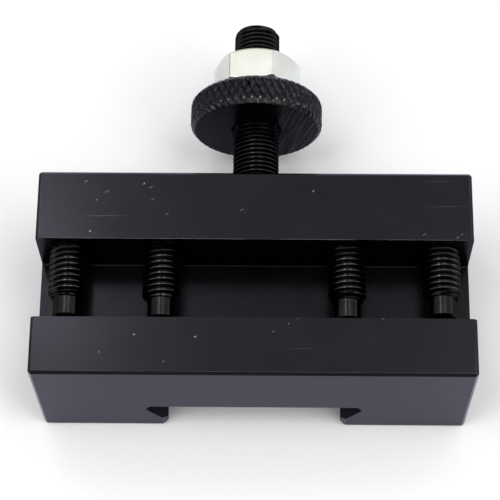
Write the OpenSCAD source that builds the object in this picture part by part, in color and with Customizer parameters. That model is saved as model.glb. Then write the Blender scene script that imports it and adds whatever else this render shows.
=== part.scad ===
// Turning and facing tool holder for a medium quick-change lathe tool post.
// The block lies on its dovetail back, with the tool slot facing up.
// X runs along the block, Y towards the height stud, Z out of the tool slot.
// The origin is the middle of the dovetail mouth, in the plane of the back face.

/* [Block] */
// Length of the block
block_l = 89; // [86:0.5:110]
// Height of the block, along the stud
block_h = 44; // [43:0.5:50]
// Thickness of the block, from the back face to the front face
block_t = 32.5; // [32:0.5:38]
// Chamfer on the outer edges
edge_chamfer = 0.6; // [0.2:0.1:1.2]

/* [Tool slot] */
// Opening of the tool slot, between its upper and lower faces
slot_w = 17; // [15:0.5:17]
// Depth of the tool slot below the front face
slot_d = 13.5; // [12.5:0.5:14]
// Thickness of the wall below the slot
lower_wall = 12; // [11:0.5:12]
// Chamfer on the two edges of the slot mouth
mouth_chamfer = 0.1; // [0.1:0.1:0.8]

/* [Dovetail] */
// Distance between the two dovetail lips
dovetail_mouth = 36.3; // [35:0.1:38]
// Distance between the two undercut corners
dovetail_root = 45; // [44.5:0.1:47]
// Depth of the dovetail from the back face
dovetail_depth = 12; // [11.5:0.1:12]
// Angle between the dovetail flank and the back face
dovetail_angle = 60; // [58:1:62]
// Lead-in chamfer at both ends of each lip
lip_lead = 1.1; // [0.5:0.1:1.5]

/* [Set screws] */
// Nominal thread diameter of the set screws
screw_d = 8; // [8:1:10]
// Thread pitch of the set screws
screw_pitch = 1.25; // [1:0.25:1.25]
// Length of a set screw with its dog point
screw_len = 25; // [22:1:30]
// Diameter of the dog point
dog_d = 5.5; // [4:0.5:6]
// Length of the dog point
dog_len = 4.2; // [3:0.1:5]
// Distance across flats of the hexagon socket
socket_af = 4; // [3:0.5:4]
// Distance between the two inner screws
inner_span = 38; // [37.5:0.1:40]
// Distance between the two outer screws
outer_span = 76.6; // [74:0.2:78]
// Distance of the screw axes behind the front face
screw_inset = 7.5; // [6.5:0.5:8]

/* [Height stud] */
// Nominal thread diameter of the stud
stud_d = 10; // [8:1:10]
// Thread pitch of the stud
stud_pitch = 1; // [1:0.25:1.5]
// Height of the stud above the block
stud_reach = 40.3; // [38:0.1:50]
// Depth of the stud inside the block
stud_seat = 12.5; // [8:0.5:13]
// Height of the stud axis above the back face
stud_z = 18; // [17.5:0.25:20]

/* [Nuts] */
// Diameter of the knurled nut
knurl_d = 28.4; // [24:0.2:30]
// Thickness of the knurled nut
knurl_t = 6.5; // [5:0.1:8]
// Height of the knurled nut's lower face above the block
knurl_lift = 16.6; // [8:0.1:17]
// Distance across flats of the lock nut
lock_af = 16.5; // [16:0.5:18]
// Thickness of the lock nut
lock_t = 7.5; // [5:0.5:8]
// Space between the knurled nut and the lock nut
lock_lift = 2; // [0.5:0.1:3]
// Turn of the lock nut about the stud, in degrees
lock_turn = 8; // [0:0.5:30]

/* [Hidden] */
$fn = 96;

// Radial space between a thread's crests and the hole that it turns in
thread_play = 0.1;
// Depth of a metric thread as a share of its pitch
thread_share = 0.61;
// Share of the pitch that is flat at the root and at the crest
root_share = 0.12;
crest_share = 0.2;
// Extra length that carries a cutting solid through a face
over = 1;

half_l = block_l / 2;
half_h = block_h / 2;
slot_low = -half_h + lower_wall;
slot_high = slot_low + slot_w;
slot_floor = block_t - slot_d;

lip_x = dovetail_mouth / 2;
root_x = dovetail_root / 2;
// Each undercut corner is cut back by a flat that rises to the dovetail's ceiling.
corner_flat = 1;
corner_rise = 2;
flank_rise = (root_x - lip_x) * tan(dovetail_angle);
corner_z = dovetail_depth - corner_rise;
lip_z = corner_z - flank_rise;

screw_xs = [-outer_span / 2, -inner_span / 2, inner_span / 2, outer_span / 2];
screw_z = block_t - screw_inset;
// Space left between each dog point and the slot's lower face
screw_gaps = [2.4, 2.2, 2.1, 2.8];
socket_depth = 4;
mouth_sink = 0.5;

stud_sink = 0.5;
end_chamfer = 0.9;

rim_chamfer = 0.9;
bore_sink = 0.6;
// Width of the ring that the lock nut's corner bevels leave inside its flats
lock_bevel = 0.3;

// Bar along +Z with thread rings of the given pitch, chamfered at its far end.
module thread_bar(r, pitch, length, end) {
    depth = pitch * thread_share;
    count = floor((length - end) / pitch);
    root = pitch * root_share / 2;
    slope = pitch * (1 - crest_share) / 2;
    rings = [for (i = [0 : count - 1])
        let (mid = (i + 0.5) * pitch)
        each [[r, mid - slope], [r - depth, mid - root], [r - depth, mid + root], [r, mid + slope]]];
    rotate_extrude()
        polygon(concat([[0, 0], [r, 0]], rings, [[r, length - end], [r - end, length], [0, length]]));
}

// Hexagonal prism along +Z, given by its distance across flats.
module hexagon(af, length) {
    cylinder(d = af / cos(30), h = length, $fn = 6);
}

// Points a shape that is built along +Z towards +Y.
module along_y() {
    rotate([-90, 0, 0]) children();
}

// Section of the block across its length, with the tool slot.
module slot_section() {
    c = edge_chamfer;
    m = mouth_chamfer;
    polygon([
        [-half_h, c], [-half_h + c, 0], [half_h - c, 0], [half_h, c],
        [half_h, block_t - c], [half_h - c, block_t],
        [slot_high + m, block_t], [slot_high, block_t - m], [slot_high, slot_floor],
        [slot_low, slot_floor], [slot_low, block_t - m], [slot_low - m, block_t],
        [-half_h + c, block_t], [-half_h, block_t - c]
    ]);
}

// Section of the block across its height, with the dovetail.
module dovetail_section() {
    c = edge_chamfer;
    right = [
        [lip_x + c, 0], [half_l - c, 0], [half_l, c], [half_l, block_t - c], [half_l - c, block_t]
    ];
    right_inner = [[root_x - corner_flat, dovetail_depth], [root_x, corner_z], [lip_x, lip_z], [lip_x, c]];
    left = [for (i = [len(right) - 1 : -1 : 0]) [-right[i][0], right[i][1]]];
    left_inner = [for (i = [len(right_inner) - 1 : -1 : 0]) [-right_inner[i][0], right_inner[i][1]]];
    polygon(concat(right, left, left_inner, right_inner));
}

// Outline of the block seen from the front.
module front_outline() {
    c = edge_chamfer;
    polygon([
        [-half_l + c, -half_h], [half_l - c, -half_h], [half_l, -half_h + c], [half_l, half_h - c],
        [half_l - c, half_h], [-half_l + c, half_h], [-half_l, half_h - c], [-half_l, -half_h + c]
    ]);
}

module holder_body() {
    mouth_r = screw_d / 2 + mouth_sink;
    stud_hole_r = stud_d / 2 - thread_play;
    color([0.16, 0.16, 0.17])
    difference() {
        intersection() {
            rotate([90, 0, 90]) linear_extrude(block_l, center = true) slot_section();
            rotate([90, 0, 0]) linear_extrude(block_h, center = true) dovetail_section();
            linear_extrude(block_t) front_outline();
        }
        for (x = screw_xs)
            translate([x, slot_high - over, screw_z]) along_y() {
                cylinder(d = screw_d, h = half_h - slot_high + 2 * over);
                translate([0, 0, half_h - slot_high + over - mouth_sink])
                    cylinder(r1 = screw_d / 2, r2 = mouth_r, h = mouth_sink);
            }
        translate([0, half_h - stud_seat - stud_sink, stud_z]) along_y()
            cylinder(r = stud_hole_r, h = stud_seat + stud_sink + over);
        for (side = [-1, 1], end = [-1, 1])
            translate([side * lip_x, end * half_h, 0]) rotate([0, 0, 45])
                cube([lip_lead * sqrt(2), lip_lead * sqrt(2), 2 * corner_z], center = true);
    }
}

module height_stud() {
    r = stud_d / 2 - thread_play;
    color([0.1, 0.1, 0.1])
    translate([0, half_h - stud_seat, stud_z]) along_y() union() {
        cylinder(r = r, h = stud_seat);
        translate([0, 0, stud_seat]) thread_bar(r, stud_pitch, stud_reach, end_chamfer);
    }
}

module knurled_nut() {
    r = knurl_d / 2;
    c = rim_chamfer;
    bore_r = stud_d / 2;
    s = bore_sink;
    color([0.18, 0.18, 0.2])
    translate([0, half_h + knurl_lift, stud_z]) along_y()
        rotate_extrude()
            polygon([
                [bore_r + s, 0], [r - c, 0], [r, c], [r, knurl_t - c], [r - c, knurl_t],
                [bore_r + s, knurl_t], [bore_r, knurl_t - s], [bore_r, s]
            ]);
}

module lock_nut() {
    bore_r = stud_d / 2;
    s = bore_sink;
    corner_r = lock_af / cos(30) / 2;
    flat_r = lock_af / 2 - lock_bevel;
    fall = (corner_r - flat_r) * tan(30);
    color([0.8, 0.81, 0.78])
    translate([0, half_h + knurl_lift + knurl_t + lock_lift, stud_z]) along_y()
        intersection() {
            rotate([0, 0, -lock_turn]) hexagon(lock_af, lock_t);
            rotate_extrude()
                polygon([
                    [bore_r + s, 0], [flat_r, 0], [corner_r, fall], [corner_r, lock_t - fall],
                    [flat_r, lock_t], [bore_r + s, lock_t], [bore_r, lock_t - s], [bore_r, s]
                ]);
        }
}

// One set screw, counted from the left end of the block.
module set_screw(i) {
    r = screw_d / 2 - thread_play;
    depth = screw_pitch * thread_share;
    body_len = screw_len - dog_len;
    dog_r = dog_d / 2;
    tip_chamfer = 0.3;
    color([0.08, 0.08, 0.08])
    translate([screw_xs[i], slot_low + screw_gaps[i], screw_z]) along_y()
        difference() {
            union() {
                cylinder(r1 = dog_r - tip_chamfer, r2 = dog_r, h = tip_chamfer);
                translate([0, 0, tip_chamfer]) cylinder(r = dog_r, h = dog_len - tip_chamfer);
                translate([0, 0, dog_len]) cylinder(r1 = r - depth, r2 = r, h = depth);
                translate([0, 0, dog_len + depth])
                    thread_bar(r, screw_pitch, body_len - depth, depth);
            }
            translate([0, 0, screw_len - socket_depth]) hexagon(socket_af, socket_depth + over);
        }
}

module set_screw_1() { set_screw(0); }
module set_screw_2() { set_screw(1); }
module set_screw_3() { set_screw(2); }
module set_screw_4() { set_screw(3); }

holder_body();
height_stud();
knurled_nut();
lock_nut();
set_screw_1();
set_screw_2();
set_screw_3();
set_screw_4();
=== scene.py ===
"""Looks of a turning and facing tool holder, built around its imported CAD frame.

Lengths are metres in the row frame: +X along the block, +Y towards the height stud,
+Z out of the tool slot. The holder lies on its dovetail back, on the floor at z = 0.
"""

import math

import bmesh
import bpy
from mathutils import Matrix, Vector, noise


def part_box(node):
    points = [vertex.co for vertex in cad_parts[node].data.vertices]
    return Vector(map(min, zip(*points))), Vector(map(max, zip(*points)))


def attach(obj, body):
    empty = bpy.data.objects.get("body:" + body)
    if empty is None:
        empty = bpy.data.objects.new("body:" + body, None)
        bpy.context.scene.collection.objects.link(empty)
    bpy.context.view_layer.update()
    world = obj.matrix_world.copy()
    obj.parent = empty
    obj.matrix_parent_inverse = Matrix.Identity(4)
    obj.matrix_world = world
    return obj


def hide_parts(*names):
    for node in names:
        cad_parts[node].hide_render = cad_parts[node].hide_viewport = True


MM = 0.001

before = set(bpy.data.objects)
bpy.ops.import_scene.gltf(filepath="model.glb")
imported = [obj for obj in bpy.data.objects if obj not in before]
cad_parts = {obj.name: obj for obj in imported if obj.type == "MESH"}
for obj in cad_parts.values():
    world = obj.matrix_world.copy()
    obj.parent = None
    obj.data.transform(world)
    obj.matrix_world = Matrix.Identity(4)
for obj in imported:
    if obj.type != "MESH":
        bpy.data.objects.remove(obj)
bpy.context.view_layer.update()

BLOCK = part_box("holder_body")
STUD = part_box("height_stud")
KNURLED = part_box("knurled_nut")
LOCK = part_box("lock_nut")
SCREWS = ["set_screw_1", "set_screw_2", "set_screw_3", "set_screw_4"]

# Tool slot, dovetail and edges of the block
EDGE_CHAMFER = 0.6 * MM
SLOT_WIDTH = 17 * MM
SLOT_DEPTH = 13.5 * MM
LOWER_WALL = 12 * MM
SLOT_LOW = BLOCK[0].y + LOWER_WALL
SLOT_HIGH = SLOT_LOW + SLOT_WIDTH
SLOT_FLOOR = BLOCK[1].z - SLOT_DEPTH
DOVETAIL_MOUTH = 36.3 * MM
DOVETAIL_ROOT = 45 * MM
DOVETAIL_DEPTH = 12 * MM
DOVETAIL_ANGLE = math.radians(60)
CORNER_FLAT = 1 * MM
CORNER_RISE = 2 * MM
CORNER_Z = DOVETAIL_DEPTH - CORNER_RISE
LIP_LEAD = 1.1 * MM
EDGE_ROUND = 0.15 * MM
# Angle between two faces above which their edge is rounded
EDGE_ANGLE = math.radians(24)
SLOT_ROOT_ROUND = 0.5 * MM
# Angles along the rounded root of the slot
ROOT_STEPS = [math.radians(18 * i) for i in range(6)]
# Wear of the block's edges away from the slot's mouth, as a share of the wear there
OTHER_EDGES_WEAR = 0.3
# Distance by which a cutting shape passes a face that it doesn't give
SPARE = 1 * MM

# Threads
# Share of the pitch that a metric thread is deep
THREAD_SHARE = 0.61
# One turn of a thread: how far along it, as a share of the pitch, and how far below the crest,
# as a share of the depth
THREAD_PROFILE = [
    (-0.105, 0.05), (-0.06, 0), (0.06, 0), (0.105, 0.05), (0.41, 0.91), (0.46, 1), (0.54, 1), (0.59, 0.91),
]
# Turns that are built past each end of a thread and cut off
SPARE_TURNS = 1.5
# Points round a thread or a hole
ROUND_COLUMNS = 72
# Distance within which a point counts as lying on a cutting plane
CUT_REACH = 1e-8

# Set screws, M8 with a dog point and a hexagon socket
SCREW_R = 3.9 * MM
SCREW_PITCH = 1.25 * MM
SCREW_HOLE_R = 4 * MM
HOLE_SINK = 0.5 * MM
DOG_R = 2.75 * MM
DOG_LENGTH = 4.2 * MM
DOG_CHAMFER = 0.3 * MM
DOG_FILLET = 0.12 * MM
SOCKET_FLATS = 4 * MM
SOCKET_DEPTH = 4 * MM
SOCKET_BEVEL = 0.35 * MM
# Least width of the flat ring between the socket's bevel and the thread
SOCKET_RING = 0.1 * MM
# Fall of the socket's bevel for each unit of its width
SOCKET_SLOPE = 0.6
# Drill point at the socket's bottom
DRILL_TIP_R = 0.3 * MM
DRILL_TIP_DEPTH = 0.9 * MM
# Turn of each screw's thread and socket, in degrees
SCREW_TURNS = [20, 155, 260, 75]

# Height stud, M10 x 1
STUD_R = 4.9 * MM
STUD_PITCH = 1 * MM
# Length over which the thread runs out at the stud's end
STUD_RUN_OUT = 0.72 * MM
STUD_TIP_R = 3.7 * MM
STUD_SEAT_R = 4.85 * MM
# Depth inside the block at which the stud's thread starts
STUD_THREAD_SINK = 2 * MM
# Space below the stud in its hole
STUD_HOLE_SINK = 0.5 * MM
STUD_TURN = 40

# Bores of both nuts
NUT_BORE_R = 5 * MM
NUT_BORE_SINK = 0.6 * MM

# Knurled nut
RIM_CHAMFER = 0.9 * MM
KNURL_TEETH = 50
KNURL_DEPTH = 0.34 * MM
# Points along one tooth, and steps from the rim's lower edge to its upper edge
TOOTH_STEPS = 16
RIM_STEPS = 32
# Where a tooth's flat tip starts, as a share of the way from the groove's bottom to the tooth's middle
KNURL_FLAT = 0.7
# Depth of the lighter of the two crossing sets of grooves, as a share of the deeper one
KNURL_CROSS = 0.6
# Unevenness of the grooves' depth, size of its lumps, and depth of the fraying on the tips
KNURL_UNEVEN = 0.7
KNURL_LUMP = 1.1 * MM
KNURL_FRAY = 0.08 * MM
# Lumps of the fraying in one lump of the unevenness
FRAY_LUMPS = 3
# Depth of the grooves on the chamfers, as a share of their depth on the rim
CHAMFER_GROOVE = 0.5
# Wear of the chamfers themselves
CHAMFER_WEAR = 0.08
# Distance from the chamfer's edge within which the teeth are worn bright, with a painted highlight on their
# tips
WORN_GLINT_REACH = 0.3 * MM
# Share of a groove's depth down to which the teeth are worn and carry the painted highlight
WORN_GLINT_DEPTH = 1 / 3

# Lock nut
LOCK_FLATS = 16.5 * MM
LOCK_TURN = 8
LOCK_BEVEL_RING = 0.3 * MM
LOCK_BEVEL_ANGLE = math.radians(30)
LOCK_EDGE_ROUND = 0.3 * MM
LOCK_EDGE_ANGLE = math.radians(40)
LOCK_COLUMNS = 144

# Camera: its place, its azimuth, elevation and roll in degrees, its lens and sensor in millimetres
CAMERA_PLACE = (4.43 * MM, -143.59 * MM, 383.34 * MM)
CAMERA_ANGLES = (-2.04, 67.09, -1.54)
CAMERA_LENS = 135.8
CAMERA_SENSOR = 36

# Point that most lamps are aimed at
MIDDLE = (0, 0.01, 0.01)
# Paired lamps: name, place on the right, width and height, power in watts,
# and what the right one has more and the left one less
PAIRED_LAMPS = [
    ("front_softbox", (0.65, -0.35, 0.65), (0.6, 0.6), 2.9, 0.3),
    ("top_softbox", (0.35, -0.1, 1.1), (0.4, 0.4), 2.8, 0),
    ("crest_strip", (0.28, 0.36, 0.78), (0.015, 0.4), 0.2, 0),
]
# Single lamps: name, place, target, width and height, and power in watts
SINGLE_LAMPS = [
    ("left_strip", (-0.113, 0.195, 0.45), (-0.03, 0, 0.03), (0.02, 0.14), 0.092),
    ("right_card", (0.7, 0.3, 0.15), MIDDLE, (0.5, 0.3), 0.4),
    ("right_strip", (0.36, 0.36, 0.95), MIDDLE, (0.03, 0.5), 0.1),
]

# Brightness of the tent at the horizon and overhead
SKY = (0.4, 1.02)
# Dark opening in the front of the tent: its direction, the angles from there at which it starts
# and stops to brighten, and its own brightness as a share of the tent's
OPENING_DIRECTION = (0.03, -0.39, 0.92)
OPENING_EDGE = (math.radians(20), math.radians(37))
OPENING_GLOW = 0.1

# Distance from the middle of the floor to its edges
FLOOR_REACH = 3


# ---------------------------------------------------------------- mesh helpers

def add_object(name, bm, smooth_below=30):
    """Turns a bmesh into an object whose edges steeper than smooth_below degrees stay sharp."""
    bmesh.ops.recalc_face_normals(bm, faces=bm.faces)
    mesh = bpy.data.meshes.new(name)
    bm.to_mesh(mesh)
    bm.free()
    mesh.polygons.foreach_set("use_smooth", [True] * len(mesh.polygons))
    mesh.set_sharp_from_angle(angle=math.radians(smooth_below))
    made = bpy.data.objects.new(name, mesh)
    bpy.context.scene.collection.objects.link(made)
    return made


def axis_at(box, y):
    """Point at height y on the axis of a round piece, from its CAD box."""
    low, high = box
    return Vector(((low.x + high.x) / 2, y, (low.z + high.z) / 2))


def bar_to_row(base):
    """Matrix that takes a bar built along local +Z to one along +Y that starts at base."""
    return Matrix.Translation(base) @ Matrix.Rotation(math.radians(-90), 4, "X")


def stand(name, bm, box, turn=0, smooth_below=30):
    """Sets a piece built along +Z at the lower end of its CAD box, turned by some degrees about its axis."""
    place = bar_to_row(axis_at(box, box[0].y)) @ Matrix.Rotation(math.radians(turn), 4, "Z")
    bmesh.ops.transform(bm, matrix=place, verts=bm.verts)
    return add_object(name, bm, smooth_below)


def circle(radius, height):
    """Ring with the same radius and height at every angle."""
    return lambda angle: (radius, height)


def hexagon_radius(flats, angle):
    """Distance from the middle to the edge of a hexagon at an angle from one of its corners."""
    turn = math.radians(60)
    return flats / 2 / math.cos((angle % turn) - turn / 2)


def join_rows(bm, lower, upper):
    """Joins two closed rows of points by faces."""
    for j in range(len(lower)):
        k = (j + 1) % len(lower)
        bm.faces.new((lower[j], lower[k], upper[k], upper[j]))


def lathe_rings(bm, rings, columns):
    """Joins rings of points into faces. A ring is a function of the angle that gives (radius, height)."""
    rows = []
    for ring in rings:
        row = []
        for j in range(columns):
            angle = 2 * math.pi * j / columns
            radius, height = ring(angle)
            row.append(bm.verts.new((radius * math.cos(angle), radius * math.sin(angle), height)))
        rows.append(row)
    for lower, upper in zip(rows, rows[1:]):
        join_rows(bm, lower, upper)
    return rows


def cut_ring(bm, height, keep_above):
    """Cuts an open mesh at a height, drops one side, and gives the loop of cut edges."""
    geometry = bm.verts[:] + bm.edges[:] + bm.faces[:]
    cut = bmesh.ops.bisect_plane(
        bm, geom=geometry, dist=CUT_REACH, plane_co=(0, 0, height), plane_no=(0, 0, 1),
        clear_inner=keep_above, clear_outer=not keep_above,
    )
    return [item for item in cut["geom_cut"] if isinstance(item, bmesh.types.BMEdge)]


def grow_ring(bm, edges, ring):
    """Extrudes a loop of edges onto a ring, and gives the new loop of edges."""
    grown = bmesh.ops.extrude_edge_only(bm, edges=edges)["geom"]
    for item in grown:
        if isinstance(item, bmesh.types.BMVert):
            angle = math.atan2(item.co.y, item.co.x)
            radius, height = ring(angle)
            item.co = (radius * math.cos(angle), radius * math.sin(angle), height)
    return [item for item in grown if isinstance(item, bmesh.types.BMEdge) and item.is_boundary]


def grow_rings(bm, edges, rings):
    """Extrudes a loop of edges from ring to ring, and gives the last loop of edges."""
    for ring in rings:
        edges = grow_ring(bm, edges, ring)
    return edges


def row_edges(bm, row):
    """Edges between the points of a closed row."""
    return [bm.edges.get(pair) for pair in zip(row, row[1:] + row[:1])]


def thread(bm, radius, pitch, start, end, start_cone, end_cone):
    """Helical thread from start to end along +Z. It tapers to its root over each cone's length.

    Its crests carry 1 for rubbed oxide and a painted highlight. Returns the edge loops at both ends, at the
    root radius."""
    wear_and_highlight = bm.verts.layers.float.new("wear_and_highlight")
    depth = pitch * THREAD_SHARE
    root = radius - depth

    def limited(r, z):
        low = root + depth * max(0, (z - start) / start_cone)
        high = root + depth * max(0, (end - z) / end_cone)
        return min(r, low, high)

    rows = []
    for turn in range(math.ceil((end - start) / pitch + 2 * SPARE_TURNS)):
        for share, fall in THREAD_PROFILE:
            row = []
            for j in range(ROUND_COLUMNS):
                angle = 2 * math.pi * j / ROUND_COLUMNS
                z = start + (turn - SPARE_TURNS + share + j / ROUND_COLUMNS) * pitch
                r = limited(radius - fall * depth, z)
                point = bm.verts.new((r * math.cos(angle), r * math.sin(angle), z))
                point[wear_and_highlight] = 1.0 if r == radius else 0.0
                row.append(point)
            rows.append(row)
    for lower, upper in zip(rows, rows[1:]):
        for j in range(ROUND_COLUMNS - 1):
            bm.faces.new((lower[j], lower[j + 1], upper[j + 1], upper[j]))
    # The last column meets the first one of the next turn.
    turn_on = len(THREAD_PROFILE)
    for i in range(len(rows) - 1 - turn_on):
        bm.faces.new((rows[i][-1], rows[i + turn_on][0], rows[i + 1 + turn_on][0], rows[i + 1][-1]))
    bottom = cut_ring(bm, start, keep_above=True)
    top = cut_ring(bm, end, keep_above=False)
    return bottom, top


# ---------------------------------------------------------------- block

def section_prism(name, points, to_row, length):
    """Prism of a closed outline, centred on the row's middle. to_row(u, v, along) places its points."""
    bm = bmesh.new()
    face = bm.faces.new([bm.verts.new(to_row(u, v, -length / 2)) for u, v in points])
    grown = bmesh.ops.extrude_face_region(bm, geom=[face])["geom"]
    shift = Vector(to_row(0, 0, length / 2)) - Vector(to_row(0, 0, -length / 2))
    for item in grown:
        if isinstance(item, bmesh.types.BMVert):
            item.co += shift
    return add_object(name, bm)


def bake_modifiers(piece):
    """Applies every modifier of a piece to its mesh."""
    depsgraph = bpy.context.evaluated_depsgraph_get()
    piece.data = bpy.data.meshes.new_from_object(piece.evaluated_get(depsgraph))
    piece.modifiers.clear()


def combine(target, tool, operation):
    """Applies a boolean of tool to target, and removes tool."""
    step = target.modifiers.new("step", "BOOLEAN")
    step.object = tool
    step.operation = operation
    step.solver = "EXACT"
    bake_modifiers(target)
    bpy.data.objects.remove(tool)


def slot_section():
    """Section of the block across its length, as (y, z), with the tool slot."""
    low, high = BLOCK
    c, r = EDGE_CHAMFER, SLOT_ROOT_ROUND
    bottom, top, back, front = low.y, high.y, low.z, high.z
    round_low, round_high, round_z = SLOT_LOW + r, SLOT_HIGH - r, SLOT_FLOOR + r
    points = [
        (bottom, back + c), (bottom + c, back), (top - c, back), (top, back + c), (top, front - c),
        (top - c, front), (SLOT_HIGH, front),
    ]
    points += [(round_high + r * math.cos(a), round_z - r * math.sin(a)) for a in ROOT_STEPS]
    points += [(round_low - r * math.sin(a), round_z - r * math.cos(a)) for a in ROOT_STEPS]
    points += [(SLOT_LOW, front), (bottom + c, front), (bottom, front - c)]
    return points


def dovetail_section():
    """Section of the block across its height, as (x, z), with the dovetail.

    It gives the block's ends, and passes the back and the front by SPARE."""
    low, high = BLOCK
    c, s = EDGE_CHAMFER, SPARE
    end, back, front = high.x, low.z, high.z
    lip, root = DOVETAIL_MOUTH / 2, DOVETAIL_ROOT / 2
    lip_top = CORNER_Z - (root - lip) * math.tan(DOVETAIL_ANGLE)
    right = [
        (root - CORNER_FLAT, DOVETAIL_DEPTH), (root, CORNER_Z), (lip, lip_top), (lip, back + c),
        (lip + c + s, back - s), (end - c - s, back - s), (end, back + c), (end, front - c),
        (end - c - s, front + s),
    ]
    left = [(-x, z) for x, z in reversed(right)]
    return right + left


def front_outline():
    """Outline of the block seen from the front, as (x, y).

    It gives the chamfers at its corners, and passes its sides by SPARE."""
    low, high = BLOCK
    c, s = EDGE_CHAMFER, SPARE
    left, right, bottom, top = low.x, high.x, low.y, high.y
    return [
        (left + c + s, bottom - s), (right - c - s, bottom - s), (right + s, bottom + c + s),
        (right + s, top - c - s), (right - c - s, top + s), (left + c + s, top + s),
        (left - s, top - c - s), (left - s, bottom + c + s),
    ]


def round_cutter(base, rings):
    """Closed cutter along +Y from base, through rings given as (radius, height)."""
    bm = bmesh.new()
    rows = lathe_rings(bm, [circle(radius, height) for radius, height in rings], ROUND_COLUMNS)
    bm.faces.new(rows[0])
    bm.faces.new(rows[-1])
    bmesh.ops.transform(bm, matrix=bar_to_row(base), verts=bm.verts)
    return add_object("cutter", bm)


def screw_hole(name):
    """Cutter for one screw hole, with its sink at the block's top."""
    start = SLOT_HIGH - SPARE
    depth = BLOCK[1].y - start
    return round_cutter(axis_at(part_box(name), start), [
        (SCREW_HOLE_R, 0),
        (SCREW_HOLE_R, depth - HOLE_SINK),
        (SCREW_HOLE_R + 2 * HOLE_SINK, depth + HOLE_SINK),
    ])


def stud_hole():
    """Cutter for the hole that holds the stud."""
    start = STUD[0].y - STUD_HOLE_SINK
    depth = BLOCK[1].y - start + SPARE
    return round_cutter(axis_at(STUD, start), [(STUD_R, 0), (STUD_R, depth)])


def lip_lead(side, end):
    """Cutter for the lead-in at one end of one dovetail lip."""
    bm = bmesh.new()
    bmesh.ops.create_cube(bm, size=1)
    wide = LIP_LEAD * math.sqrt(2)
    place = Matrix.Translation((side * DOVETAIL_MOUTH / 2, end * BLOCK[1].y, 0))
    turn = Matrix.Rotation(math.radians(45), 4, "Z")
    stretch = Matrix.Diagonal((wide, wide, 2 * CORNER_Z, 1))
    bmesh.ops.transform(bm, matrix=place @ turn @ stretch, verts=bm.verts)
    return add_object("cutter", bm)


def mark_faces(piece, name, value):
    """Stores value(face, rim) for each face of a piece. rim is the length of the face's outline."""
    mesh = piece.data
    values = []
    for face in mesh.polygons:
        corners = [mesh.vertices[i].co for i in face.vertices]
        rim = sum((a - b).length for a, b in zip(corners, corners[1:] + corners[:1]))
        values.append(float(value(face, rim)))
    mesh.attributes.new(name, "FLOAT", "FACE").data.foreach_set("value", values)


def edge_wear(face, rim):
    """Wear of a face of the block: full on the slot's upper mouth edge, less on the other rounded edges."""
    if 2 * face.area / rim > EDGE_ROUND:
        return 0
    mouth = abs(face.center.y - SLOT_HIGH) < EDGE_ROUND and face.center.z > BLOCK[1].z - EDGE_ROUND
    return 1 if mouth else OTHER_EDGES_WEAR


def in_slot(face, rim):
    """Whether a face of the block is on the floor or a wall of the tool slot."""
    inside = SLOT_LOW - EDGE_ROUND < face.center.y < SLOT_HIGH + EDGE_ROUND
    return inside and face.center.z > SLOT_FLOOR - EDGE_ROUND


def round_edges(piece, width, segments, angle):
    """Adds a bevel of every edge whose faces meet at more than an angle."""
    edges = piece.modifiers.new("edges", "BEVEL")
    edges.width = width
    edges.segments = segments
    edges.limit_method = "ANGLE"
    edges.angle_limit = angle
    return edges


def make_block():
    """Block with its slot, dovetail and holes. Its faces carry wear and whether they are in the slot.

    Three prisms are crossed. Each flat face comes from one of them, and the others pass it by SPARE."""
    size = BLOCK[1] - BLOCK[0]
    long, tall, thick = (side + 2 * SPARE for side in size)
    middle = size.z / 2
    block = section_prism("block", slot_section(), lambda y, z, x: (x, y, z), long)
    upright = section_prism("cutter", dovetail_section(), lambda x, z, y: (x, y, z), tall)
    combine(block, upright, "INTERSECT")
    outside = section_prism("cutter", front_outline(), lambda x, y, z: (x, y, z + middle), thick)
    combine(block, outside, "INTERSECT")
    for side in (-1, 1):
        for end in (-1, 1):
            combine(block, lip_lead(side, end), "DIFFERENCE")
    for name in SCREWS:
        combine(block, screw_hole(name), "DIFFERENCE")
    combine(block, stud_hole(), "DIFFERENCE")
    round_edges(block, EDGE_ROUND, 2, EDGE_ANGLE)
    flats = block.modifiers.new("flats", "WEIGHTED_NORMAL")
    flats.weight = 100
    block.data.polygons.foreach_set("use_smooth", [True] * len(block.data.polygons))
    bake_modifiers(block)
    mark_faces(block, "wear_and_highlight", edge_wear)
    mark_faces(block, "milled_and_shade", in_slot)
    return block


# ---------------------------------------------------------------- screws, stud and nuts

def make_screw(name, turn):
    """Set screw from its dog point up: dog, shoulder, thread and hexagon socket."""
    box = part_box(name)
    length = box[1].y - box[0].y
    depth = SCREW_PITCH * THREAD_SHARE
    mouth = min(SOCKET_FLATS / math.sqrt(3) + SOCKET_BEVEL, SCREW_R - depth - SOCKET_RING)
    bottom = length - SOCKET_DEPTH

    def bevel_end(angle):
        r = hexagon_radius(SOCKET_FLATS, angle)
        return (r, length - (mouth - r) * SOCKET_SLOPE)

    def socket_end(angle):
        return (hexagon_radius(SOCKET_FLATS, angle), bottom)

    bm = bmesh.new()
    low_ring, high_ring = thread(bm, SCREW_R, SCREW_PITCH, DOG_LENGTH, length, depth, depth)
    low_ring = grow_rings(bm, low_ring, [
        circle(DOG_R + DOG_FILLET, DOG_LENGTH),
        circle(DOG_R, DOG_LENGTH - DOG_FILLET),
        circle(DOG_R, DOG_CHAMFER),
        circle(DOG_R - DOG_CHAMFER, 0),
    ])
    bmesh.ops.edgeloop_fill(bm, edges=low_ring)
    high_ring = grow_rings(bm, high_ring, [
        circle(mouth, length),
        bevel_end,
        socket_end,
        circle(DRILL_TIP_R, bottom - DRILL_TIP_DEPTH),
    ])
    bmesh.ops.edgeloop_fill(bm, edges=high_ring)
    return stand(name + "_threaded", bm, box, turn)


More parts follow.
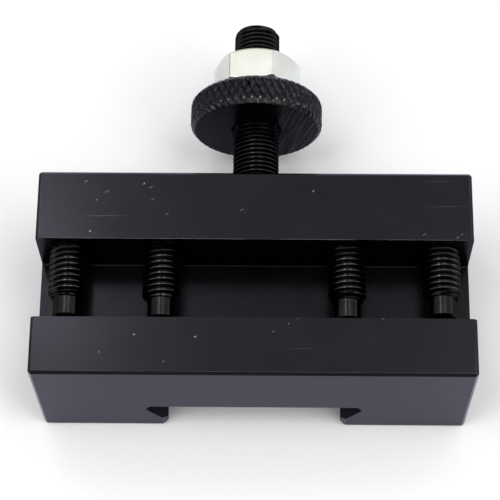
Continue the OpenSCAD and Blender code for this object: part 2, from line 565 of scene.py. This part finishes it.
def make_stud():
    """Stud from its hidden seat up: plain bar in the block, then thread to the chamfered end."""
    length = STUD[1].y - STUD[0].y
    seat = BLOCK[1].y - STUD[0].y - STUD_THREAD_SINK
    bm = bmesh.new()
    bottom, top = thread(
        bm, STUD_R, STUD_PITCH, seat, length, STUD_PITCH * THREAD_SHARE, STUD_RUN_OUT,
    )
    bottom = grow_rings(bm, bottom, [circle(STUD_SEAT_R, seat), circle(STUD_SEAT_R, 0)])
    bmesh.ops.edgeloop_fill(bm, edges=bottom)
    top = grow_ring(bm, top, circle(STUD_TIP_R, length))
    bmesh.ops.edgeloop_fill(bm, edges=top)
    return stand("stud_threaded", bm, STUD, STUD_TURN)


def groove(x):
    """Depth of a row of grooves, x teeth along it: 1 at whole x, and 0 on the flat tips between."""
    return 1 - min(1 - abs(2 * (x % 1) - 1), KNURL_FLAT) / KNURL_FLAT


def knurl_point(radius, wide, i, k):
    """Point of the nut's rim at column i and row k, and its wear with painted highlight."""
    angle = 2 * math.pi * i / (KNURL_TEETH * TOOTH_STEPS)
    height = wide * k / RIM_STEPS
    inside = min(height, wide - height)
    chamfer = radius - max(0, RIM_CHAMFER - inside)
    place = Vector((radius * math.cos(angle), radius * math.sin(angle), height)) / KNURL_LUMP
    depth = KNURL_DEPTH * (1 + KNURL_UNEVEN * noise.noise(place))
    u, v = i / TOOTH_STEPS, k / TOOTH_STEPS
    cut = max(groove(u + v), KNURL_CROSS * groove(u - v))
    toothed = radius - depth * cut - KNURL_FRAY * abs(noise.noise(place * FRAY_LUMPS))
    bevelled = chamfer - CHAMFER_GROOVE * depth * cut
    r = min(toothed, bevelled)
    tip = max(0, 1 - cut / WORN_GLINT_DEPTH) * max(0, 1 - abs(inside - RIM_CHAMFER) / WORN_GLINT_REACH)
    on_chamfer = bevelled < toothed and inside > 0
    wear_and_highlight = max(tip, CHAMFER_WEAR if on_chamfer else 0)
    return (r * math.cos(angle), r * math.sin(angle), height), wear_and_highlight


def make_knurled_nut():
    """Nut with a diamond knurl round its rim, cut back by a chamfer at both ends.

    The teeth carry wear and a painted highlight, up to 1, where the chamfers cut their tips."""
    radius = (KNURLED[1].x - KNURLED[0].x) / 2
    wide = KNURLED[1].y - KNURLED[0].y
    columns = KNURL_TEETH * TOOTH_STEPS
    bm = bmesh.new()
    wear_and_highlight = bm.verts.layers.float.new("wear_and_highlight")
    rim = []
    for k in range(RIM_STEPS + 1):
        row = []
        for i in range(columns):
            place, worn_and_glint = knurl_point(radius, wide, i, k)
            point = bm.verts.new(place)
            point[wear_and_highlight] = worn_and_glint
            row.append(point)
        rim.append(row)
    for k in range(RIM_STEPS):
        for i in range(columns):
            j = (i + 1) % columns
            a, b, c, d = rim[k][i], rim[k][j], rim[k + 1][j], rim[k + 1][i]
            # Where a deep groove's bottom or a tooth's middle crosses, the split follows it.
            if (i + k + 1) % (TOOTH_STEPS // 2) == 0:
                bm.faces.new((a, b, d))
                bm.faces.new((b, c, d))
            else:
                bm.faces.new((a, b, c))
                bm.faces.new((a, c, d))
    high_edges = row_edges(bm, rim[-1])
    ring = grow_rings(bm, row_edges(bm, rim[0]), [
        circle(NUT_BORE_R + NUT_BORE_SINK, 0),
        circle(NUT_BORE_R, NUT_BORE_SINK),
        circle(NUT_BORE_R, wide - NUT_BORE_SINK),
        circle(NUT_BORE_R + NUT_BORE_SINK, wide),
    ])
    bmesh.ops.bridge_loops(bm, edges=ring + high_edges)
    return stand("knurled_height_nut", bm, KNURLED, smooth_below=12)


def make_lock_nut():
    """Hexagon nut with both faces bevelled and its bore sunk."""
    thick = LOCK[1].y - LOCK[0].y
    face_r = LOCK_FLATS / 2 - LOCK_BEVEL_RING

    def low_side(angle):
        r = hexagon_radius(LOCK_FLATS, angle)
        return (r, (r - face_r) * math.tan(LOCK_BEVEL_ANGLE))

    def high_side(angle):
        r, rise = low_side(angle)
        return (r, thick - rise)

    bm = bmesh.new()
    rings = [
        circle(NUT_BORE_R, NUT_BORE_SINK),
        circle(NUT_BORE_R + NUT_BORE_SINK, 0),
        circle(face_r, 0),
        low_side,
        high_side,
        circle(face_r, thick),
        circle(NUT_BORE_R + NUT_BORE_SINK, thick),
        circle(NUT_BORE_R, thick - NUT_BORE_SINK),
    ]
    rows = lathe_rings(bm, rings, LOCK_COLUMNS)
    join_rows(bm, rows[-1], rows[0])
    nut = stand("hexagon_lock_nut", bm, LOCK, -LOCK_TURN, smooth_below=25)
    edges = round_edges(nut, LOCK_EDGE_ROUND, 3, LOCK_EDGE_ANGLE)
    edges.harden_normals = True
    bake_modifiers(nut)
    return nut


# ---------------------------------------------------------------- materials

class Paint:
    """Builds one node material with short calls. Patterns are laid out in object coordinates."""

    def __init__(self, name):
        self.material = bpy.data.materials.new(name)
        self.material.use_nodes = True
        self.nodes = self.material.node_tree.nodes
        self.links = self.material.node_tree.links
        self.shader = self.nodes["Principled BSDF"]
        self.coordinates = self.nodes.new("ShaderNodeTexCoord")
        self.place = self.coordinates.outputs["Object"]

    def put(self, socket, value):
        """Links a socket to another one, or sets its number or its (red, green, blue)."""
        if isinstance(value, bpy.types.NodeSocket):
            self.links.new(value, socket)
        elif isinstance(value, tuple):
            socket.default_value = (*value, 1)
        else:
            socket.default_value = value

    def mapped(self, stretch, turn):
        """Object coordinates that lengthen a pattern along its own axes, and turn it."""
        mapping = self.nodes.new("ShaderNodeMapping")
        mapping.vector_type = "TEXTURE"
        mapping.inputs["Scale"].default_value = stretch
        mapping.inputs["Rotation"].default_value = turn
        self.links.new(self.place, mapping.inputs["Vector"])
        return mapping.outputs["Vector"]

    def noise(self, scale, detail=3, rough=0.55, stretch=(1, 1, 1), turn=(0, 0, 0)):
        """Noise with scale in lumps per metre."""
        node = self.nodes.new("ShaderNodeTexNoise")
        node.inputs["Scale"].default_value = scale
        node.inputs["Detail"].default_value = detail
        node.inputs["Roughness"].default_value = rough
        self.links.new(self.mapped(stretch, turn), node.inputs["Vector"])
        return node.outputs["Fac"]

    def spots(self, scale, stretch=(1, 1, 1), turn=(0, 0, 0)):
        """Distance to the nearest of scattered points, with scale in points per metre."""
        node = self.nodes.new("ShaderNodeTexVoronoi")
        node.inputs["Scale"].default_value = scale
        self.links.new(self.mapped(stretch, turn), node.inputs["Vector"])
        return node.outputs["Distance"]

    def stored(self, name):
        """A value that the mesh stores for its points or faces."""
        node = self.nodes.new("ShaderNodeAttribute")
        node.attribute_name = name
        return node.outputs["Fac"]

    def part(self, vector, axis):
        """One part of a vector."""
        split = self.nodes.new("ShaderNodeSeparateXYZ")
        self.links.new(vector, split.inputs["Vector"])
        return split.outputs[axis]

    def facing(self, axis):
        """How squarely a surface faces along an axis of the row frame, from 0 to 1."""
        return self.math("ABSOLUTE", self.part(self.coordinates.outputs["Normal"], axis))

    def ramp(self, value, stops):
        """Colour or grey for a value, from stops given as (value, grey or (red, green, blue))."""
        node = self.nodes.new("ShaderNodeValToRGB")
        for element, (at, tone) in zip(node.color_ramp.elements, stops):
            element.position = at
            element.color = (*tone, 1) if isinstance(tone, tuple) else (tone, tone, tone, 1)
        self.links.new(value, node.inputs["Fac"])
        return node.outputs["Color"]

    def math(self, operation, a, b=0.0):
        """One operation on one or two values."""
        node = self.nodes.new("ShaderNodeMath")
        node.operation = operation
        self.put(node.inputs[0], a)
        self.put(node.inputs[1], b)
        return node.outputs["Value"]

    def times(self, a, b):
        """Product of two values."""
        return self.math("MULTIPLY", a, b)

    def plus(self, a, b):
        """Sum of two values."""
        return self.math("ADD", a, b)

    def mix(self, share, a, b):
        """Colour a with a share of colour b over it."""
        node = self.nodes.new("ShaderNodeMix")
        node.data_type = "RGBA"
        self.put(node.inputs["Factor"], share)
        colours = {socket.name: socket for socket in node.inputs if socket.type == "RGBA"}
        self.put(colours["A"], a)
        self.put(colours["B"], b)
        return [socket for socket in node.outputs if socket.type == "RGBA"][0]

    def bump(self, height, distance, under=None):
        """Normal of a relief that is distance high, over the relief of another normal."""
        node = self.nodes.new("ShaderNodeBump")
        node.inputs["Strength"].default_value = 1
        node.inputs["Distance"].default_value = distance
        self.links.new(height, node.inputs["Height"])
        if under is not None:
            self.links.new(under, node.inputs["Normal"])
        return node.outputs["Normal"]

    def finish(self, **sockets):
        """Sets or links the shader's sockets, and gives the material."""
        names = {
            "colour": "Base Color", "metal": "Metallic", "rough": "Roughness", "normal": "Normal",
            "specular": "Specular IOR Level", "edge": "Specular Tint",
        }
        for key, value in sockets.items():
            self.put(self.shader.inputs[names[key]], value)
        return self.material


def black_block():
    """Ground steel under satin black oxide: cloudy, specked, worn along its edges, and duller and darker in
    the slot, partly from milling and partly painted shade.
    """
    p = Paint("black_oxide_block")
    cloud = p.noise(90, 4, 0.6)
    mottle = p.noise(420, 2, 0.5)
    fine = p.noise(1500, 3, 0.6)
    grind = p.noise(700, 2, 0.5, stretch=(16, 1, 1))
    milled_and_shade = p.stored("milled_and_shade")

    # Oxide, darker in the slot: partly the duller milled finish, partly painted shade in the recess
    colour = p.ramp(cloud, [(0.3, (0.0198, 0.0190, 0.0232)), (0.7, (0.0222, 0.0213, 0.0260))])
    colour = p.mix(p.ramp(mottle, [(0.35, 0.1), (0.65, 0)]), colour, (0.010, 0.0096, 0.0115))
    dull_and_shade = p.times(milled_and_shade, p.ramp(mottle, [(0.3, 0.42), (0.7, 0.3)]))
    colour = p.mix(dull_and_shade, colour, (0.002, 0.002, 0.002))

    # Specks, patches of short scratches, and hairlines along the block, all outside the slot
    frayed = p.plus(p.spots(330, stretch=(1.6, 1, 1), turn=(0, 0, 0.6)), p.times(fine, 0.08))
    speck = p.ramp(frayed, [(0.075, 1), (0.1, 0)])
    speck = p.times(speck, p.ramp(p.noise(120, 1), [(0.44, 0), (0.5, 1)]))
    scratch = p.ramp(p.spots(900, stretch=(4, 1, 1), turn=(0, 0, 0.5)), [(0.07, 0.5), (0.12, 0)])
    scratch = p.times(scratch, p.ramp(p.noise(95, 1), [(0.6, 0), (0.64, 1)]))
    hairline = p.ramp(p.spots(800, stretch=(60, 1, 1), turn=(0, 0, 0.01)), [(0.04, 0.2), (0.07, 0)])
    marks = p.math("MAXIMUM", speck, p.math("MAXIMUM", scratch, hairline))
    marks = p.times(marks, p.math("SUBTRACT", 1.0, milled_and_shade))
    colour = p.mix(marks, colour, (0.24, 0.24, 0.25))

    # Bare steel along the worn edges
    edge = p.times(p.stored("wear_and_highlight"), p.ramp(p.noise(60, 3, 0.6), [(0.34, 0), (0.46, 1)]))
    colour = p.mix(edge, colour, (0.8, 0.8, 0.8))

    rough = p.ramp(cloud, [(0.25, 0.19), (0.75, 0.23)])
    rough = p.plus(rough, p.times(p.math("SUBTRACT", fine, 0.5), 0.03))
    rough = p.plus(rough, p.times(milled_and_shade, 0.04))
    rough = p.plus(rough, p.times(edge, 0.25))
    normal = p.bump(grind, 0.001 * MM)
    normal = p.bump(fine, 0.0006 * MM, under=normal)
    return p.finish(colour=colour, rough=rough, normal=normal, metal=1.0, edge=(0.73, 0.71, 0.80))


def black_thread():
    """Rolled thread under oiled black oxide, rubbed on its crests, with a painted highlight along them."""
    p = Paint("black_oxide_thread")
    cloud = p.noise(260, 4, 0.6)
    fine = p.noise(2600, 3, 0.6)
    colour = p.ramp(cloud, [(0.3, (0.014, 0.014, 0.0152)), (0.7, (0.021, 0.021, 0.0225))])
    # Crests lighter: partly rubbed oxide, partly a painted highlight along every crest
    rubbed_and_highlight = p.times(p.stored("wear_and_highlight"), p.ramp(fine, [(0.35, 0.3), (0.65, 1)]))
    colour = p.mix(rubbed_and_highlight, colour, (0.055, 0.055, 0.058))
    rough = p.ramp(cloud, [(0.25, 0.2), (0.75, 0.3)])
    normal = p.bump(fine, 0.003 * MM)
    return p.finish(colour=colour, rough=rough, normal=normal, metal=1.0, edge=(0.4, 0.4, 0.42))


def black_screw():
    """Heat-treated screw steel with a glossy oiled black finish, rubbed bright on its crests, which also
    paints a highlight along them.
    """
    p = Paint("black_oxide_screw")
    cloud = p.noise(300, 4, 0.6)
    fine = p.noise(2200, 3, 0.6)
    colour = p.ramp(cloud, [(0.3, (0.0185, 0.0185, 0.019)), (0.7, (0.0275, 0.027, 0.0275))])
    # Crests lighter: partly rubbed oxide, partly a painted highlight along every crest
    rubbed_and_highlight = p.times(p.stored("wear_and_highlight"), p.ramp(p.noise(900, 3, 0.6), [(0.35, 0.25), (0.65, 1)]))
    colour = p.mix(rubbed_and_highlight, colour, (0.095, 0.095, 0.095))
    rough = p.ramp(cloud, [(0.25, 0.16), (0.75, 0.26)])
    normal = p.bump(fine, 0.003 * MM)
    return p.finish(colour=colour, rough=rough, normal=normal, metal=1.0, edge=(0.4, 0.4, 0.4))


def black_knurl():
    """Turned and knurled steel under black oxide: frayed teeth with worn tips that also carry a painted
    highlight, and streaks on its flat faces, shown only on the right as painted light.
    """
    p = Paint("black_oxide_knurl")
    cloud = p.noise(160, 4, 0.6)
    fine = p.noise(1400, 3, 0.6)
    streak = p.noise(1500, 2, 0.5, stretch=(1, 1, 20), turn=(0, 0.26, 0))
    flat = p.ramp(p.facing("Y"), [(0.9, 0), (0.98, 1)])

    # Oxide on the rim
    colour = p.ramp(cloud, [(0.3, (0.019, 0.018, 0.0215)), (0.7, (0.028, 0.0265, 0.032))])
    colour = p.mix(p.ramp(fine, [(0.35, 0.5), (0.6, 0)]), colour, (0.006, 0.0057, 0.007))

    # Flat faces: even on the left, with streaks that fade in from 1 to 7 mm right of the middle; the fade is
    # painted light, a sheen where light falls from the right
    tone = p.ramp(streak, [(0.46, (0.001, 0.001, 0.001)), (0.6, (0.04, 0.038, 0.043))])
    right = p.ramp(p.times(p.part(p.place, "X"), 0.1 / MM), [(0.1, 0), (0.7, 1)])
    tone = p.mix(right, (0.008, 0.008, 0.0105), tone)
    colour = p.mix(flat, colour, tone)

    # Bare steel on the worn teeth, which also paints a highlight on the tips near the chamfers
    worn_and_glint = p.times(p.stored("wear_and_highlight"), p.ramp(p.noise(700, 3, 0.6), [(0.42, 0.3), (0.58, 1)]))
    colour = p.mix(worn_and_glint, colour, (0.7, 0.69, 0.67))

    rough = p.ramp(cloud, [(0.25, 0.24), (0.75, 0.34)])
    normal = p.bump(fine, 0.02 * MM)
    normal = p.bump(streak, 0.02 * MM, under=normal)
    metal = p.math("SUBTRACT", 1.0, p.times(flat, 0.08))
    return p.finish(colour=colour, rough=rough, normal=normal, metal=metal, edge=(0.66, 0.65, 0.71))


def zinc():
    """Bright zinc plate, cloudy, with a blue cast that varies at random, and painted light that turns faces
    towards +Z and -Z darker and yellow.
    """
    p = Paint("zinc_plate")
    cloud = p.noise(240, 4, 0.6)
    fine = p.noise(1600, 4, 0.65)
    # Painted light: faces towards +Z and -Z are painted darker and yellower than the sides
    cast_and_facing_light = p.plus(p.times(p.noise(110, 1), 0.6), p.times(p.facing("Z"), 0.4))
    colour = p.ramp(cast_and_facing_light, [(0.5, (0.72, 0.742, 0.75)), (0.66, (0.62, 0.623, 0.54))])
    colour = p.mix(p.ramp(cloud, [(0.35, 0.4), (0.65, 0)]), colour, (0.58, 0.59, 0.57))
    rough = p.ramp(cloud, [(0.25, 0.36), (0.75, 0.48)])
    normal = p.bump(fine, 0.004 * MM)
    return p.finish(colour=colour, rough=rough, normal=normal, metal=1.0)


def pale_floor():
    """Matt white floor with a faint cloudiness."""
    p = Paint("pale_floor")
    colour = p.ramp(p.noise(6, 2), [(0.3, (0.765, 0.765, 0.77)), (0.7, (0.775, 0.775, 0.78))])
    return p.finish(colour=colour, rough=0.7, specular=0.3)


# ---------------------------------------------------------------- studio

def make_camera():
    """Camera with a long lens, well above the holder and a little in front of its lower face."""
    data = bpy.data.cameras.new("camera")
    data.sensor_width = CAMERA_SENSOR
    data.lens = CAMERA_LENS
    data.clip_start = 0.01
    data.clip_end = 20
    camera = bpy.data.objects.new("camera", data)
    bpy.context.scene.collection.objects.link(camera)
    azimuth, elevation, roll = (math.radians(angle) for angle in CAMERA_ANGLES)
    ahead = Vector((
        math.sin(azimuth) * math.cos(elevation),
        math.cos(azimuth) * math.cos(elevation),
        -math.sin(elevation),
    ))
    level_right = Vector((math.cos(azimuth), -math.sin(azimuth), 0))
    level_up = level_right.cross(ahead)
    right = level_right * math.cos(roll) + level_up * math.sin(roll)
    up = level_up * math.cos(roll) - level_right * math.sin(roll)
    turn = Matrix((right, up, -ahead)).transposed().to_4x4()
    camera.matrix_world = Matrix.Translation(CAMERA_PLACE) @ turn
    bpy.context.scene.camera = camera


def area_light(name, eye, target, size, watts):
    """Rectangular lamp at eye that shines towards target."""
    data = bpy.data.lights.new(name, "AREA")
    data.shape = "RECTANGLE"
    data.size, data.size_y = size
    data.energy = watts
    lamp = bpy.data.objects.new(name, data)
    lamp.location = eye
    lamp.rotation_mode = "QUATERNION"
    lamp.rotation_quaternion = (Vector(target) - Vector(eye)).to_track_quat("-Z", "Y")
    bpy.context.scene.collection.objects.link(lamp)


def make_sky():
    """Pale tent over the floor, brightest overhead, with a dark opening in front."""
    world = bpy.data.worlds.new("world")
    world.use_nodes = True
    nodes = world.node_tree.nodes
    links = world.node_tree.links
    direction = nodes.new("ShaderNodeTexCoord").outputs["Generated"]

    def shade(value, start, end, interpolation):
        """Brightness that goes from one to another, (low, high), over a span of values."""
        node = nodes.new("ShaderNodeMapRange")
        node.interpolation_type = interpolation
        node.inputs["From Min"].default_value, node.inputs["From Max"].default_value = start
        node.inputs["To Min"].default_value, node.inputs["To Max"].default_value = end
        links.new(value, node.inputs["Value"])
        return node.outputs["Result"]

    split = nodes.new("ShaderNodeSeparateXYZ")
    links.new(direction, split.inputs["Vector"])
    tent = shade(split.outputs["Z"], (0, 1), SKY, "LINEAR")
    facing = nodes.new("ShaderNodeVectorMath")
    facing.operation = "DOT_PRODUCT"
    facing.inputs[1].default_value = OPENING_DIRECTION
    links.new(direction, facing.inputs[0])
    inner, outer = (math.cos(angle) for angle in OPENING_EDGE)
    opening = shade(facing.outputs["Value"], (outer, inner), (1, OPENING_GLOW), "SMOOTHSTEP")
    both = nodes.new("ShaderNodeMath")
    both.operation = "MULTIPLY"
    links.new(tent, both.inputs[0])
    links.new(opening, both.inputs[1])
    links.new(both.outputs["Value"], nodes["Background"].inputs["Strength"])
    nodes["Background"].inputs["Color"].default_value = (1, 1, 1, 1)
    bpy.context.scene.world = world


def make_studio():
    """Floor, lamps and tent."""
    bm = bmesh.new()
    bmesh.ops.create_grid(bm, x_segments=8, y_segments=8, size=FLOOR_REACH)
    floor = add_object("floor", bm)
    floor.data.materials.append(pale_floor())
    for side in (-1, 1):
        for name, (x, y, z), size, watts, more in PAIRED_LAMPS:
            area_light(name, (side * x, y, z), MIDDLE, size, watts + side * more)
    for lamp in SINGLE_LAMPS:
        area_light(*lamp)
    make_sky()
    bpy.context.scene.view_settings.view_transform = "Standard"


# ---------------------------------------------------------------- scene

def dress(piece, body, slot, material, *nodes):
    """Gives a piece its material, its body and the CAD nodes that it stands for."""
    piece.data.materials.clear()
    piece.data.materials.append(material)
    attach(piece, body)
    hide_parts(*nodes)


make_camera()
make_studio()

dress(make_block(), "block", "black_oxide_block", black_block(), "holder_body")
dress(make_stud(), "block", "black_oxide_thread", black_thread(), "height_stud")
dress(make_knurled_nut(), "knurled_nut", "black_oxide_knurl", black_knurl(), "knurled_nut")
dress(make_lock_nut(), "lock_nut", "zinc_plate", zinc(), "lock_nut")
screw_paint = black_screw()
for screw, turn in zip(SCREWS, SCREW_TURNS):
    dress(make_screw(screw, turn), screw, "black_oxide_screw", screw_paint, screw)
